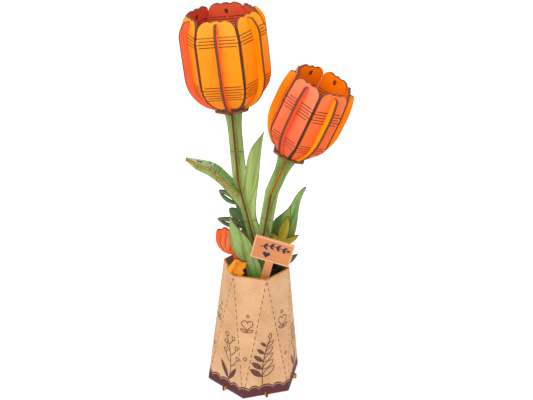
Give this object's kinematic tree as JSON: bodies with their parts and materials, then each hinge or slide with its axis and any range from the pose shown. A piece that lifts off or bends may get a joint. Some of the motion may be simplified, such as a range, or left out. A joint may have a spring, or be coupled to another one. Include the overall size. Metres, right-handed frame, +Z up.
{
  "type": "wooden tulips ornament",
  "caption": "Laser-cut plywood tulips with kerf-bent petals on slotted stems, with leaves, sprigs and a small sign, standing in a faceted card vase.",
  "frame": {"origin": "middle of the base plate's underside, on the surface that the vase stands on", "axes": "+Z up, -Y towards the viewer's front, +X to the viewer's right, so that the tall tulip is on the -X side"},
  "size_m": [0.1308, 0.0798, 0.3191],
  "materials": {
    "kraft_card": "matte",
    "bare_ply": "matte",
    "soil_black_ply": "matte",
    "green_ply": "satin print",
    "dark_green_ply": "satin print",
    "olive_ply": "satin print",
    "yellow_ply": "satin print",
    "red_ply": "satin print",
    "peach_ply": "satin print"
  },
  "bodies": {
    "vase": {"vase_wrap": "kraft_card", "base_plate": "bare_ply", "soil_plate": "soil_black_ply", "root_plate": "green_ply", "left_stem_upper": "green_ply", "left_stem_middle": "green_ply", "left_cross_upper": "green_ply", "left_cross_lower": "green_ply", "left_leaf_blade": "green_ply", "right_stem_upper": "green_ply", "right_cross_upper": "green_ply", "right_cross_lower": "green_ply", "front_leaf": "green_ply", "right_leaf": "green_ply", "low_leaf": "green_ply", "dark_sprig": "dark_green_ply", "olive_sprig": "olive_ply", "bud": "red_ply", "blossom": "yellow_ply", "frame_rib_1": "bare_ply", "frame_rib_2": "bare_ply", "frame_rib_3": "bare_ply", "frame_rib_4": "bare_ply", "frame_rib_5": "bare_ply", "frame_rib_6": "bare_ply"},
    "tall_tulip": {"tall_tulip_petal_1": "yellow_ply", "tall_tulip_petal_2": "yellow_ply", "tall_tulip_petal_3": "yellow_ply", "tall_tulip_petal_4": "yellow_ply", "tall_tulip_petal_5": "yellow_ply", "tall_tulip_petal_6": "yellow_ply", "tall_tulip_fin_1": "yellow_ply", "tall_tulip_fin_2": "yellow_ply", "tall_tulip_fin_3": "yellow_ply", "tall_tulip_fin_4": "yellow_ply", "tall_tulip_fin_5": "yellow_ply", "tall_tulip_fin_6": "yellow_ply", "tall_tulip_collar": "olive_ply", "tall_tulip_under_collar": "olive_ply"},
    "small_tulip": {"small_tulip_petal_1": "red_ply", "small_tulip_petal_2": "red_ply", "small_tulip_petal_3": "red_ply", "small_tulip_petal_4": "red_ply", "small_tulip_petal_5": "red_ply", "small_tulip_petal_6": "red_ply", "small_tulip_fin_1": "red_ply", "small_tulip_fin_2": "red_ply", "small_tulip_fin_3": "red_ply", "small_tulip_fin_4": "red_ply", "small_tulip_fin_5": "red_ply", "small_tulip_fin_6": "red_ply", "small_tulip_collar": "olive_ply", "small_tulip_under_collar": "olive_ply"},
    "sign": {"sign": "peach_ply"}
  },
  "joints": [
    {"name": "tall_tulip_lift", "type": "slide", "parent": "vase", "child": "tall_tulip", "axis": [-0.1011, 0, 0.9949], "range_m": [0, 0.03]},
    {"name": "small_tulip_lift", "type": "slide", "parent": "vase", "child": "small_tulip", "axis": [0.342, 0, 0.9397], "range_m": [0, 0.03]},
    {"name": "sign_lift", "type": "slide", "parent": "vase", "child": "sign", "axis": [0.2164, 0, 0.9763], "range_m": [0, 0.04]}
  ]
}
